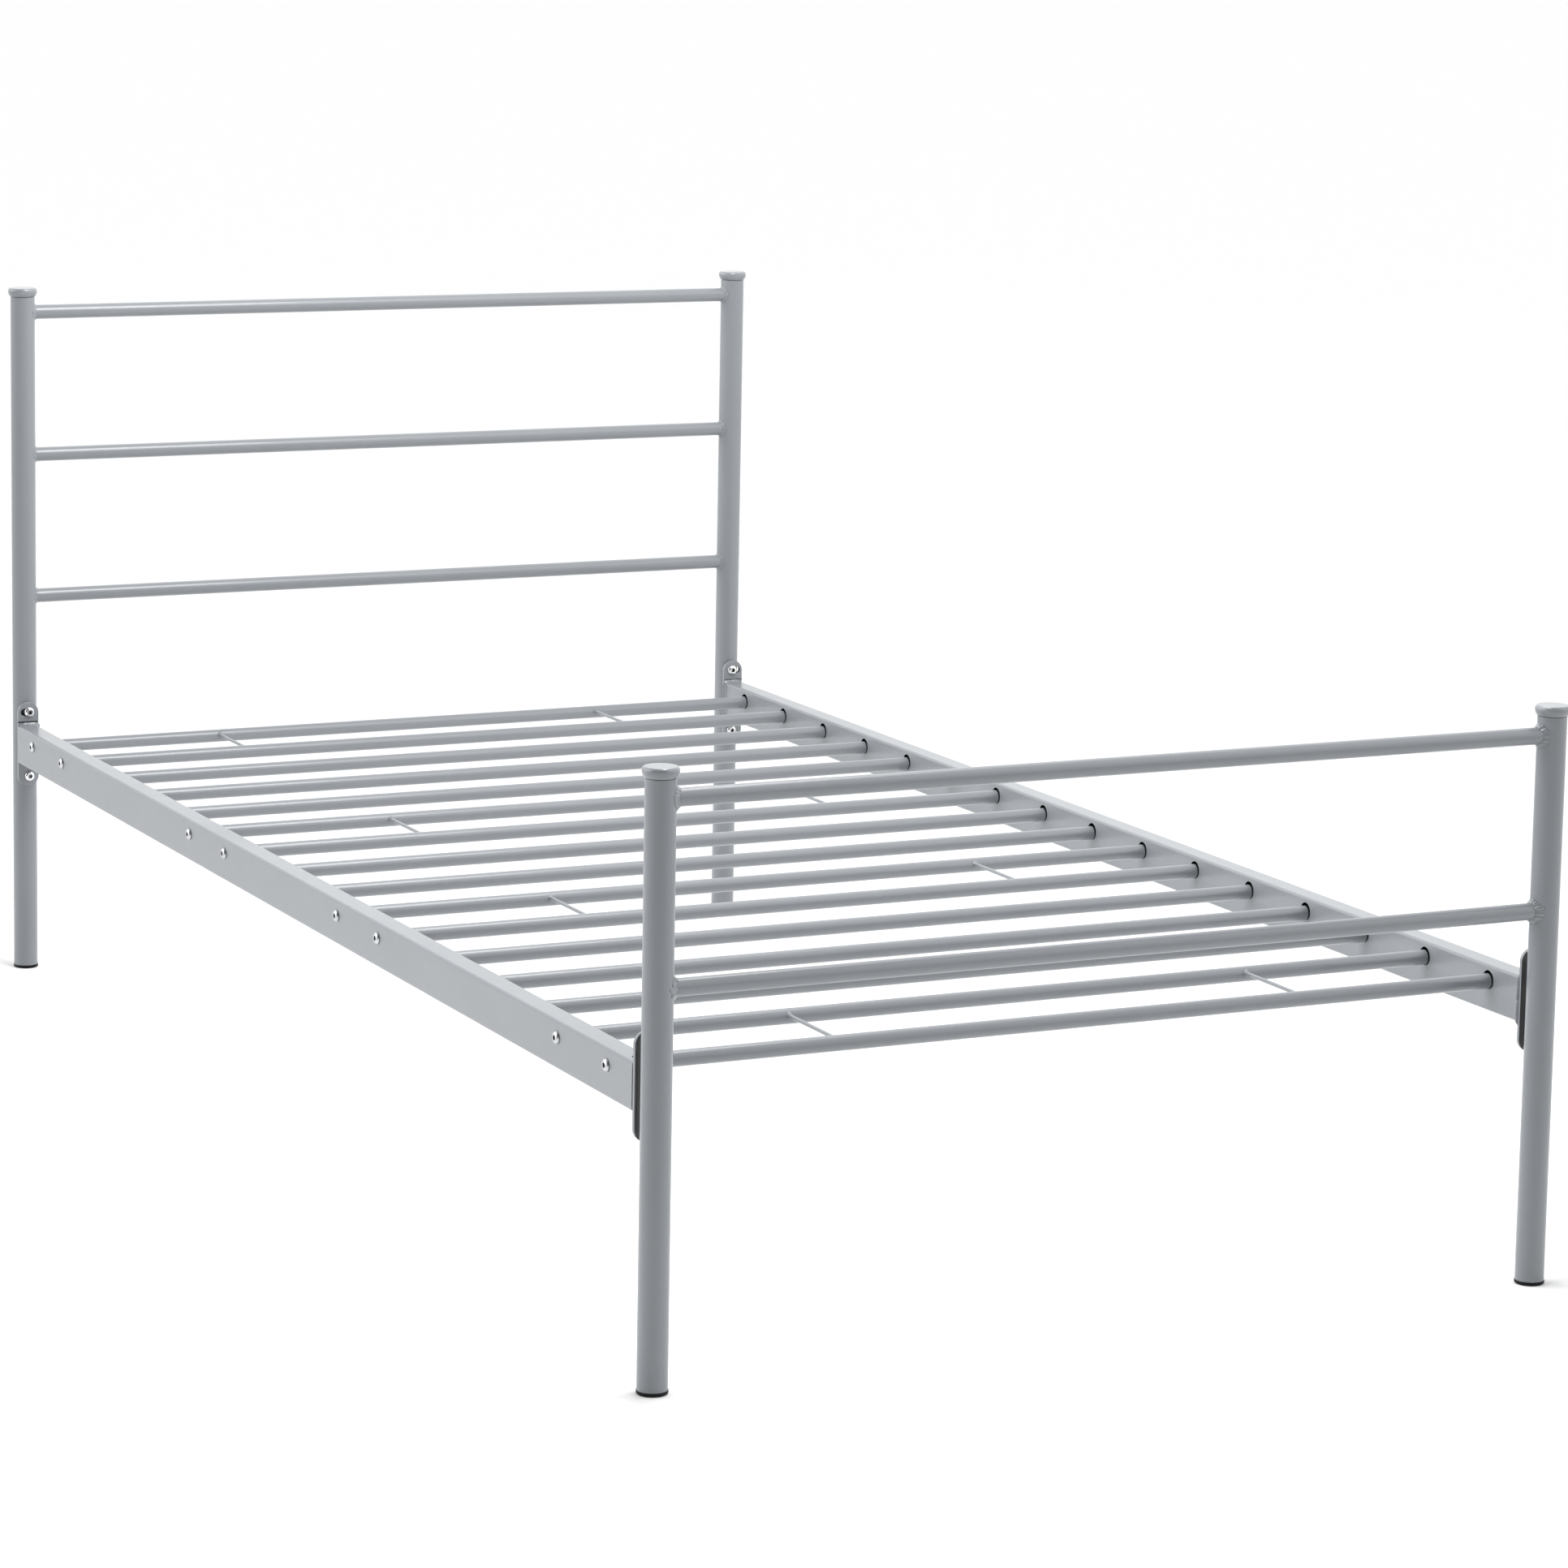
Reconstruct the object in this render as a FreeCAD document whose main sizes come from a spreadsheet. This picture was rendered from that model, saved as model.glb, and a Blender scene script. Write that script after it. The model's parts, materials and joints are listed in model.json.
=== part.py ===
"""Metal bed frame for a single mattress, modelled piece by piece in millimetres.

Frame of the part: the origin is on the floor, in the middle of the bed.  +Z is up, +Y points
to the headboard, and +X is the right-hand side for a person who stands at the foot end.
"""
import FreeCAD, Part
import math
import os
from types import SimpleNamespace

import Sketcher

# Driving dimensions in millimetres: alias, value, meaning
DIMENSIONS = (
    ("post_spacing", 980, "between post axes, across the bed"),
    ("post_distance", 1950, "between post axes, along the bed"),
    ("post_diameter", 30, "round tube of the four posts"),
    ("post_wall", 1.5, "wall of the post tube"),
    ("head_height", 867, "floor to the top of the head caps"),
    ("foot_height", 597.5, "floor to the top of the foot caps"),
    ("cap_height", 11, "part of the cap above the tube"),
    ("cap_collar", 28.4, "collar that stands on the tube's end"),
    ("cap_seam", 0.9, "height of that collar, seen as a groove"),
    ("cap_base", 31.4, "diameter of the cap just above the groove"),
    ("cap_belly", 35.8, "widest diameter of the cap"),
    ("cap_belly_level", 6.9, "tube's end up to the widest diameter"),
    ("cap_belly_radius", 10, "radius of the curve from the base to the widest diameter"),
    ("cap_rim_radius", 4.2, "radius of the curve from there to the flat top"),
    ("cap_flat", 31.8, "diameter of the flat top"),
    ("plug_gap", 0.15, "between a plug and the bore it sits in"),
    ("plug_depth", 18, "length of a cap or floor plug inside the tube"),
    ("foot_plug_height", 3.8, "part of the floor plug below the tube"),
    ("foot_plug_flange", 30.8, "diameter of the floor plug's flange"),
    ("foot_plug_round", 1.8, "radius of the floor plug's lower edge"),
    ("bar_diameter", 17.5, "round tube of the headboard and footboard"),
    ("bar_wall", 1.2, "wall of the bar tube"),
    ("bar_drop", 30.5, "top of the cap down to the axis of the top bar"),
    ("bar_pitch", 179.5, "between the axes of neighbouring bars"),
    ("cope_gap", 0.05, "between a tube's shaped end and the tube it meets"),
    ("rail_width", 25, "side rail tube, across the bed"),
    ("rail_height", 48, "side rail tube, upright"),
    ("rail_wall", 1.5, "wall of the rail tube"),
    ("rail_corner", 3, "outer corner radius of the rail tube"),
    ("rail_top", 315, "floor to the top face of the rails"),
    ("plate_width", 26.6, "obround plate welded to each rail end"),
    ("plate_length", 107, "length of that plate"),
    ("plate_shift", 1.2, "from the bolts' axis outwards to the plate's middle"),
    ("plate_thickness", 4.8, "thickness of that plate"),
    ("plate_round", 0.7, "radius of the plate's outer edges"),
    ("plate_bolt_pitch", 82, "between the two bolts of a plate"),
    ("plate_hole", 8.8, "round lower hole, and height of the upper slot"),
    ("slot_reach", 11, "from the bolt's axis to the slot's outer end"),
    ("saddle_width", 26, "plastic saddle between foot post and plate"),
    ("saddle_length", 106.4, "length of the saddle"),
    ("saddle_wall", 2.5, "thinnest part of the saddle"),
    ("saddle_depth", 10.5, "saddle, from the plate to its horns"),
    ("saddle_round", 0.9, "radius of the saddle's outer edges"),
    ("slat_diameter", 15.9, "round tube of the slats"),
    ("slat_wall", 1.2, "wall of the slat tube"),
    ("slat_pitch", 119.2, "between the axes of neighbouring slats"),
    ("slat_bolt_drop", 16.7, "top of the rail down to the slat bolts' axis"),
    ("slat_hole_drop", 15.5, "top of the rail down to the slat holes' axis"),
    ("slat_hole", 19.5, "oversize hole in the rail's inner wall"),
    ("slat_rest_gap", 0.1, "between a loose slat and the bottom of its hole"),
    ("wire_diameter", 4, "brace wires between the bolted slats"),
    ("wire_offset", 260, "middle of the bed to a brace wire"),
    ("wire_rise", 2, "brace wire above the slat axis"),
    ("bolt_shank", 8, "diameter of every bolt's shank"),
    ("bolt_length", 20, "length of every bolt's shank"),
    ("bolt_hole", 8.6, "clearance hole in the rail's outer wall"),
    ("bolt_head", 13, "diameter of the button head"),
    ("bolt_rim", 0.7, "straight edge of the button head"),
    ("bolt_dome", 2.4, "domed part of the button head"),
    ("bolt_crown", 8.4, "flat middle of the button head"),
    ("bolt_dome_radius", 3.6, "radius of the dome's edge"),
    ("bolt_socket", 5, "hexagon socket, across its flats"),
    ("bolt_socket_depth", 3, "depth of that socket"),
    ("thread_gap", 0.05, "radial gap that stands in for a thread"),
    ("insert_flange", 1.5, "flange of the threaded insert in a slat's end"),
    ("insert_length", 22, "threaded insert inside the slat"),
    ("nut_body", 11, "rivet nut, outside the clinched collar"),
    ("nut_collar", 13, "clinched collar of a rivet nut"),
    ("nut_collar_start", 3.4, "nut's face down to its collar"),
    ("nut_collar_length", 2, "thickness of that collar"),
    ("nut_length", 14, "length of a rivet nut"),
)

ENDS = {"head": 1, "foot": -1}
SIDES = {"left": -1, "right": 1}
BARS = {"head": ("top", "middle", "bottom"), "foot": ("top", "bottom")}
LEVELS = {"lower": -1, "upper": 1}
SLAT_COUNT = 16
BRACED_PAIRS = ((1, 2), (6, 7), (10, 11), (15, 16))
BOLTED_SLATS = [number for pair in BRACED_PAIRS for number in pair]

HALF_ROUND = None
UPRIGHT = FreeCAD.Rotation()
TOWARDS = {
    ("x", 1): FreeCAD.Rotation(FreeCAD.Vector(0, 1, 0), 90),
    ("x", -1): FreeCAD.Rotation(FreeCAD.Vector(0, 1, 0), -90),
    ("y", 1): FreeCAD.Rotation(FreeCAD.Vector(1, 0, 0), -90),
    ("y", -1): FreeCAD.Rotation(FreeCAD.Vector(1, 0, 0), 90),
}


class Size:
    """A length that is known both as a number and as a formula on the sheet."""

    def __init__(self, number, formula):
        self.number = number
        self.formula = formula

    def __add__(self, other):
        other = as_size(other)
        return Size(self.number + other.number, f"({self.formula} + {other.formula})")

    def __sub__(self, other):
        other = as_size(other)
        return Size(self.number - other.number, f"({self.formula} - {other.formula})")

    def __mul__(self, factor):
        return Size(self.number * factor, f"({self.formula} * {factor})")

    def __truediv__(self, divisor):
        return Size(self.number / divisor, f"({self.formula} / {divisor})")

    def __neg__(self):
        return self * -1


def as_size(item):
    return item if isinstance(item, Size) else Size(item, str(item))


document = FreeCAD.newDocument("BedFrame")
sheet = document.addObject("Spreadsheet::Sheet", "Dimensions")
for row, (alias, value, meaning) in enumerate(DIMENSIONS, start=1):
    sheet.set(f"A{row}", alias)
    sheet.set(f"B{row}", str(value))
    sheet.set(f"C{row}", meaning)
    sheet.setAlias(f"B{row}", alias)
document.recompute()
D = SimpleNamespace(**{alias: Size(value, f"Dimensions.{alias}") for alias, value, _ in DIMENSIONS})

# Heights that several pieces share
RAIL_MIDDLE = D.rail_top - D.rail_height / 2
SLAT_BOLT_LEVEL = D.rail_top - D.slat_bolt_drop
SLAT_HOLE_LEVEL = D.rail_top - D.slat_hole_drop
RAIL_OUTER_FACE = D.post_spacing / 2 + D.post_diameter / 2
RAIL_AXIS = RAIL_OUTER_FACE - D.rail_width / 2
POST_RADIUS = D.post_diameter / 2
POST_BORE = D.post_diameter / 2 - D.post_wall


# ------------------------------------------------------------------ drawing helpers
def bind(item, prop, size):
    """Bind one property to a size; a plain number is bound as it stands."""
    item.setExpression(prop, as_size(size).formula)


def place(item, x=0, y=0, z=0, rotation=UPRIGHT):
    """Turn an object and bind its base point."""
    item.Placement = FreeCAD.Placement(FreeCAD.Vector(0, 0, 0), rotation)
    for axis, size in (("x", x), ("y", y), ("z", z)):
        bind(item, f"Placement.Base.{axis}", size)
    return item


def origin_feature(body, role):
    """One of a body's own origin planes or axes."""
    return next(item for item in body.Origin.OriginFeatures if item.Role == role)


def new_sketch(body, name, plane):
    sketch = body.newObject("Sketcher::SketchObject", f"{body.Name}_{name}")
    sketch.AttachmentSupport = [(origin_feature(body, plane), "")]
    sketch.MapMode = "FlatFace"
    return sketch


def constrain(sketch, kind, elements, size):
    """Add a dimension to a sketch and bind it."""
    index = sketch.addConstraint(Sketcher.Constraint(kind, *elements, as_size(size).number))
    bind(sketch, f"Constraints[{index}]", size)


def pin(sketch, element, vertex, x, y):
    """Fix a vertex by its distances from the sketch's origin."""
    constrain(sketch, "DistanceX", (-1, 1, element, vertex), x)
    constrain(sketch, "DistanceY", (-1, 1, element, vertex), y)


def point(x, y):
    return FreeCAD.Vector(as_size(x).number, as_size(y).number, 0)


def draw_circle(sketch, radius, x=0, y=0):
    circle = Part.Circle(point(x, y), FreeCAD.Vector(0, 0, 1), as_size(radius).number)
    element = sketch.addGeometry(circle, False)
    constrain(sketch, "Radius", (element,), radius)
    pin(sketch, element, 3, x, y)


def arc_between(start, finish, radius):
    """The short anticlockwise arc from start to finish; HALF_ROUND makes it half a circle."""
    chord = finish - start
    half = chord.Length / 2
    middle = (start + finish) * 0.5
    to_left = FreeCAD.Vector(-chord.y, chord.x, 0).normalize()
    bulge = half
    if radius is not HALF_ROUND:
        bulge = radius.number - math.sqrt(radius.number ** 2 - half ** 2)
    return Part.Arc(start, middle - to_left * bulge, finish)


def draw_outline(sketch, corners, arcs=()):
    """Draw a closed anticlockwise outline through bound corners.

    arcs maps the number of a corner to the radius of the arc that runs to the next corner;
    every other run is straight.  A half round has no radius of its own: it is tangent to the
    straight run before it.
    """
    arcs = dict(arcs)
    first = len(sketch.Geometry)
    count = len(corners)
    for index, corner in enumerate(corners):
        start = point(*corner)
        finish = point(*corners[(index + 1) % count])
        if index in arcs:
            sketch.addGeometry(arc_between(start, finish, arcs[index]), False)
        else:
            sketch.addGeometry(Part.LineSegment(start, finish), False)
    for index, corner in enumerate(corners):
        following = (index + 1) % count
        smooth = following in arcs and arcs[following] is HALF_ROUND
        joint = (first + index, 2, first + following, 1)
        sketch.addConstraint(Sketcher.Constraint("Tangent" if smooth else "Coincident", *joint))
        pin(sketch, first + index, 1, *corner)
    for index, radius in arcs.items():
        if radius is not HALF_ROUND:
            constrain(sketch, "Radius", (first + index,), radius)


def draw_obround(sketch, width, length, x=0):
    """An upright slot shape: two half rounds joined by straight sides."""
    right = width / 2 + x
    left = -(width / 2) + x
    high = (length - width) / 2
    corners = ((right, -high), (right, high), (left, high), (left, -high))
    draw_outline(sketch, corners, {1: HALF_ROUND, 3: HALF_ROUND})


def draw_rounded_rectangle(sketch, width, height, radius):
    x_out = width / 2
    y_out = height / 2
    x_in = x_out - radius
    y_in = y_out - radius
    corners = (
        (x_out, -y_in), (x_out, y_in), (x_in, y_out), (-x_in, y_out),
        (-x_out, y_in), (-x_out, -y_in), (-x_in, -y_out), (x_in, -y_out),
    )
    draw_outline(sketch, corners, {corner: radius for corner in (1, 3, 5, 7)})


def extrude(body, kind, sketch, length, backwards=False):
    """Pad or pocket a sketch; backwards reverses the feature's own direction."""
    feature = body.newObject(f"PartDesign::{kind}", f"{sketch.Name}_{kind.lower()}")
    feature.Profile = sketch
    feature.Reversed = backwards
    bind(feature, "Length", length)
    body.Tip = feature
    return feature


def round_edges(body, feature, radius, levels):
    """Round the edges of a pad that lie flat at one of these levels along the body's Y axis."""
    document.recompute()
    flat = [
        f"Edge{number}"
        for number, edge in enumerate(feature.Shape.Edges, start=1)
        if any(
            abs(edge.BoundBox.YMin - level.number) + abs(edge.BoundBox.YMax - level.number) < 0.001
            for level in levels
        )
    ]
    rounding = body.newObject("PartDesign::Fillet", f"{body.Name}_rounding")
    rounding.Base = (feature, flat)
    bind(rounding, "Radius", radius)
    body.Tip = rounding


def new_body(name):
    return document.addObject("PartDesign::Body", name)


def turned_body(name, corners, arcs=()):
    """A body turned about its own Z axis from half of its section."""
    body = new_body(name)
    section = new_sketch(body, "section", "XZ_Plane")
    draw_outline(section, corners, arcs)
    turning = body.newObject("PartDesign::Revolution", f"{name}_turning")
    turning.Profile = section
    turning.ReferenceAxis = (section, ["V_Axis"])
    body.Tip = turning
    return body


def tube_body(name, outer_diameter, wall, length):
    """A round tube that runs from its base point along its own Z axis."""
    body = new_body(name)
    ring = new_sketch(body, "ring", "XY_Plane")
    draw_circle(ring, outer_diameter / 2)
    draw_circle(ring, outer_diameter / 2 - wall)
    extrude(body, "Pad", ring, length)
    return body


def round_tool(name, radius, length, x=0, y=0, z=0, rotation=UPRIGHT):
    """A round cutting tool."""
    tool = document.addObject("Part::Cylinder", name)
    bind(tool, "Radius", radius)
    bind(tool, "Height", length)
    return place(tool, x, y, z, rotation)


def fuse(name, shapes):
    item = document.addObject("Part::MultiFuse", name)
    item.Shapes = shapes
    return item


def cut(name, base, tool):
    item = document.addObject("Part::Cut", name)
    item.Base = base
    item.Tool = tool
    return item


def copies(name, original, places):
    """One node of separate, identical solids: a copy of the original at every place."""
    links = []
    for number, (x, y, z, rotation) in enumerate(places, start=1):
        link = document.addObject("App::Link", f"{name}_{number}")
        link.LinkedObject = original
        links.append(place(link, x, y, z, rotation))
    group = document.addObject("Part::Compound", name)
    group.Links = links
    return group


# ------------------------------------------------------------------ where things are
def post_x(side):
    return D.post_spacing / 2 * SIDES[side]


def post_y(end):
    return D.post_distance / 2 * ENDS[end]


def post_top(end):
    """Height of the post tube's upper end."""
    return getattr(D, f"{end}_height") - D.cap_height


def plate_bolt_level(level):
    return RAIL_MIDDLE + D.plate_bolt_pitch / 2 * LEVELS[level]


def plate_inner_face(end):
    """Distance from the post's axis to the rail's side of the end plate."""
    saddle = D.saddle_wall if end == "foot" else 0
    return POST_RADIUS + D.plate_thickness + saddle


def slat_y(number):
    """Slats are numbered from the headboard."""
    return D.slat_pitch * ((SLAT_COUNT + 1) / 2 - number)


def slat_level(number):
    """Bolted slats are in line with their bolts; the others lie on the bottom of their holes."""
    if number in BOLTED_SLATS:
        return SLAT_BOLT_LEVEL
    return SLAT_HOLE_LEVEL - D.slat_hole / 2 + D.slat_diameter / 2 + D.slat_rest_gap


def slat_half_length():
    return RAIL_OUTER_FACE - D.rail_wall - D.insert_flange


# ------------------------------------------------------------------ posts
def make_post(end, side):
    """A post tube with two holes for rivet nuts in the wall that faces the rail."""
    body = tube_body(f"post_{end}_{side}", D.post_diameter, D.post_wall, post_top(end) - D.foot_plug_height)
    holes = new_sketch(body, "nut_holes", "XZ_Plane")
    for level in LEVELS:
        draw_circle(holes, D.nut_body / 2, 0, plate_bolt_level(level) - D.foot_plug_height)
    extrude(body, "Pocket", holes, D.post_diameter, backwards=end == "head")
    return place(body, post_x(side), post_y(end), D.foot_plug_height)


def make_post_cap(end, side):
    """A flat-topped end cap: a bowl on a low collar, and a plug inside the tube."""
    plug = POST_BORE - D.plug_gap
    corners = (
        (0, -D.plug_depth), (plug, -D.plug_depth), (plug, 0), (D.cap_collar / 2, 0),
        (D.cap_collar / 2, D.cap_seam), (D.cap_base / 2, D.cap_seam),
        (D.cap_belly / 2, D.cap_belly_level), (D.cap_flat / 2, D.cap_height), (0, D.cap_height),
    )
    arcs = {5: D.cap_belly_radius, 6: D.cap_rim_radius}
    body = turned_body(f"post_cap_{end}_{side}", corners, arcs)
    return place(body, post_x(side), post_y(end), post_top(end))


def make_foot_plug(end, side):
    """A plastic floor plug with a rounded lower edge."""
    plug = POST_BORE - D.plug_gap
    flange = D.foot_plug_flange / 2
    top = D.foot_plug_height
    corners = (
        (0, 0), (flange - D.foot_plug_round, 0), (flange, D.foot_plug_round), (flange, top),
        (plug, top), (plug, top + D.plug_depth), (0, top + D.plug_depth),
    )
    body = turned_body(f"foot_plug_{end}_{side}", corners, {1: D.foot_plug_round})
    return place(body, post_x(side), post_y(end))


def make_bar(end, order, label):
    """A cross bar whose ends are shaped to fit round the posts."""
    name = f"{end}board_bar_{label}"
    level = getattr(D, f"{end}_height") - D.bar_drop - D.bar_pitch * order
    tube = tube_body(f"{name}_tube", D.bar_diameter, D.bar_wall, D.post_spacing)
    place(tube, -(D.post_spacing / 2), post_y(end), level, TOWARDS["x", 1])
    tools = [
        round_tool(
            f"{name}_cope_{side}", POST_RADIUS + D.cope_gap, D.post_diameter * 2,
            post_x(side), post_y(end), level - D.post_diameter,
        )
        for side in SIDES
    ]
    return cut(name, tube, fuse(f"{name}_copes", tools))


# ------------------------------------------------------------------ side rails
def make_side_rail(side):
    """A rectangular tube: slat holes in its inner wall and bolt holes in its outer wall."""
    start = plate_inner_face("foot") - D.post_distance / 2
    finish = D.post_distance / 2 - plate_inner_face("head")
    body = new_body(f"side_rail_{side}")
    section = new_sketch(body, "section", "XZ_Plane")
    draw_rounded_rectangle(section, D.rail_width, D.rail_height, D.rail_corner)
    inner_width = D.rail_width - D.rail_wall * 2
    inner_height = D.rail_height - D.rail_wall * 2
    draw_rounded_rectangle(section, inner_width, inner_height, D.rail_corner - D.rail_wall)
    extrude(body, "Pad", section, finish - start, backwards=True)

    slat_hole = new_sketch(body, "slat_hole", "YZ_Plane")
    hole_height = SLAT_HOLE_LEVEL - RAIL_MIDDLE
    draw_circle(slat_hole, D.slat_hole / 2, slat_y(SLAT_COUNT) - start, hole_height)
    pocket = extrude(body, "Pocket", slat_hole, D.rail_width, backwards=side == "left")
    pattern = body.newObject("PartDesign::LinearPattern", f"{body.Name}_slat_holes")
    pattern.Originals = [pocket]
    pattern.Direction = (origin_feature(body, "Y_Axis"), [""])
    pattern.Occurrences = SLAT_COUNT
    bind(pattern, "Length", D.slat_pitch * (SLAT_COUNT - 1))
    body.Tip = pattern

    bolt_holes = new_sketch(body, "bolt_holes", "YZ_Plane")
    bolt_height = SLAT_BOLT_LEVEL - RAIL_MIDDLE
    for number in BOLTED_SLATS:
        draw_circle(bolt_holes, D.bolt_hole / 2, slat_y(number) - start, bolt_height)
    extrude(body, "Pocket", bolt_holes, D.rail_width, backwards=side == "right")
    return place(body, RAIL_AXIS * SIDES[side], start, RAIL_MIDDLE)


def make_rail_plate(end, side):
    """An obround end plate with a round lower hole and an upper slot that opens outwards."""
    body = new_body(f"rail_plate_{end}_{side}")
    outline = new_sketch(body, "outline", "XZ_Plane")
    draw_obround(outline, D.plate_width, D.plate_length, D.plate_shift * SIDES[side])
    hole_radius = D.plate_hole / 2
    level = D.plate_bolt_pitch / 2
    draw_circle(outline, hole_radius, 0, -level)
    reach = (D.slot_reach - hole_radius) * SIDES[side]
    inner, outer = (0, reach) if side == "right" else (reach, 0)
    corners = (
        (inner, level - hole_radius), (outer, level - hole_radius),
        (outer, level + hole_radius), (inner, level + hole_radius),
    )
    draw_outline(outline, corners, {1: HALF_ROUND, 3: HALF_ROUND})
    pad = extrude(body, "Pad", outline, D.plate_thickness, backwards=True)
    round_edges(body, pad, D.plate_round, (as_size(0), D.plate_thickness))
    inner_face = plate_inner_face(end)
    near = inner_face - D.plate_thickness if end == "foot" else -inner_face
    return place(body, post_x(side), post_y(end) + near, RAIL_MIDDLE)


def make_saddle(side):
    """A plastic saddle: flat against the foot plate and hollowed to fit round the post."""
    name = f"foot_saddle_{side}"
    block = new_body(f"{name}_block")
    outline = new_sketch(block, "outline", "XZ_Plane")
    draw_obround(outline, D.saddle_width, D.saddle_length)
    for sign in LEVELS.values():
        draw_circle(outline, D.nut_body / 2, 0, D.plate_bolt_pitch / 2 * sign)
    pad = extrude(block, "Pad", outline, D.saddle_depth, backwards=True)
    round_edges(block, pad, D.saddle_round, (as_size(0), D.saddle_depth))
    near = POST_RADIUS + D.saddle_wall - D.saddle_depth
    place(block, post_x(side), post_y("foot") + near, RAIL_MIDDLE)
    hollow = round_tool(
        f"{name}_hollow", POST_RADIUS + D.cope_gap, D.plate_bolt_pitch * 2,
        post_x(side), post_y("foot"), RAIL_MIDDLE - D.plate_bolt_pitch,
    )
    return cut(name, block, hollow)


# ------------------------------------------------------------------ slats
def make_slat(number):
    """A round slat that spans from one rail's outer wall to the other's."""
    half = slat_half_length()
    body = tube_body(f"slat_{number:02d}", D.slat_diameter, D.slat_wall, half * 2)
    return place(body, -half, slat_y(number), slat_level(number), TOWARDS["x", 1])


def make_brace_wire(pair_number, pair, side):
    """A wire between two bolted slats, its ends shaped to fit against them."""
    name = f"brace_wire_{pair_number}_{side}"
    x = D.wire_offset * SIDES[side]
    near, far = slat_y(pair[1]), slat_y(pair[0])
    wire = document.addObject("Part::Cylinder", f"{name}_rod")
    bind(wire, "Radius", D.wire_diameter / 2)
    bind(wire, "Height", far - near)
    place(wire, x, near, SLAT_BOLT_LEVEL + D.wire_rise, TOWARDS["y", 1])
    tools = [
        round_tool(
            f"{name}_cope_{order}", D.slat_diameter / 2 + D.cope_gap, D.slat_diameter * 2,
            x - D.slat_diameter, y, SLAT_BOLT_LEVEL, TOWARDS["x", 1],
        )
        for order, y in enumerate((near, far), start=1)
    ]
    return cut(name, wire, fuse(f"{name}_copes", tools))


# ------------------------------------------------------------------ fasteners
def make_bolt():
    """A button-head bolt with a hexagon socket; its head stands on the XY plane."""
    shank = D.bolt_shank / 2
    head = D.bolt_head / 2
    top = D.bolt_rim + D.bolt_dome
    corners = (
        (0, -D.bolt_length), (shank, -D.bolt_length), (shank, 0), (head, 0),
        (head, D.bolt_rim), (D.bolt_crown / 2, top), (0, top),
    )
    body = turned_body("bolt", corners, {4: D.bolt_dome_radius})
    socket = new_sketch(body, "socket", "XY_Plane")
    bind(socket, "AttachmentOffset.Base.z", top)
    half_flat = D.bolt_socket / 2
    corner = D.bolt_socket / math.sqrt(3)
    corners = (
        (corner, 0), (corner / 2, half_flat), (-(corner / 2), half_flat),
        (-corner, 0), (-(corner / 2), -half_flat), (corner / 2, -half_flat),
    )
    draw_outline(socket, corners)
    extrude(body, "Pocket", socket, D.bolt_socket_depth)
    return body


def make_slat_insert():
    """A threaded insert for a slat's end; its flange lies against the rail's outer wall."""
    bore = D.bolt_shank / 2 + D.thread_gap
    body_radius = D.slat_diameter / 2 - D.slat_wall - D.plug_gap
    flange_radius = D.slat_diameter / 2
    bottom = -(D.insert_flange + D.insert_length)
    corners = (
        (bore, bottom), (body_radius, bottom), (body_radius, -D.insert_flange),
        (flange_radius, -D.insert_flange), (flange_radius, 0), (bore, 0),
    )
    return turned_body("slat_insert", corners)


def make_rivet_nut():
    """A rivet nut, clinched behind the post's wall; its face lies on the XY plane."""
    bore = D.bolt_shank / 2 + D.thread_gap
    body_radius = D.nut_body / 2 - D.cope_gap
    collar = D.nut_collar / 2
    start = -D.nut_collar_start
    finish = start - D.nut_collar_length
    corners = (
        (bore, -D.nut_length), (body_radius, -D.nut_length), (body_radius, finish), (collar, finish),
        (collar, start), (body_radius, start), (body_radius, 0), (bore, 0),
    )
    return turned_body("rivet_nut", corners)


def slat_bolt_places(side, x):
    """One place for each bolted slat; the heads point outwards."""
    sign = SIDES[side]
    return [(x * sign, slat_y(number), SLAT_BOLT_LEVEL, TOWARDS["x", sign]) for number in BOLTED_SLATS]


def plate_bolt_places(end, offset):
    """Four places at one end of the bed; the heads point to the other end."""
    towards = -ENDS[end]
    return [
        (post_x(side), post_y(end) + offset * towards, plate_bolt_level(level), TOWARDS["y", towards])
        for side in SIDES
        for level in LEVELS
    ]


def make_fasteners():
    bolt = make_bolt()
    insert = make_slat_insert()
    nut = make_rivet_nut()
    pieces = []
    for side in SIDES:
        pieces.append(copies(f"slat_bolts_{side}", bolt, slat_bolt_places(side, RAIL_OUTER_FACE)))
        inner = RAIL_OUTER_FACE - D.rail_wall
        pieces.append(copies(f"slat_inserts_{side}", insert, slat_bolt_places(side, inner)))
    for end in ENDS:
        pieces.append(copies(f"plate_bolts_{end}", bolt, plate_bolt_places(end, plate_inner_face(end))))
        pieces.append(copies(f"rivet_nuts_{end}", nut, plate_bolt_places(end, POST_RADIUS)))
    return pieces


# ------------------------------------------------------------------ the whole bed
def make_pieces():
    pieces = []
    for end in ENDS:
        for side in SIDES:
            pieces.append(make_post(end, side))
            pieces.append(make_post_cap(end, side))
            pieces.append(make_foot_plug(end, side))
            pieces.append(make_rail_plate(end, side))
        for order, label in enumerate(BARS[end]):
            pieces.append(make_bar(end, order, label))
    for side in SIDES:
        pieces.append(make_side_rail(side))
        pieces.append(make_saddle(side))
    for number in range(1, SLAT_COUNT + 1):
        pieces.append(make_slat(number))
    for pair_number, pair in enumerate(BRACED_PAIRS, start=1):
        for side in SIDES:
            pieces.append(make_brace_wire(pair_number, pair, side))
    return pieces + make_fasteners()


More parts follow.
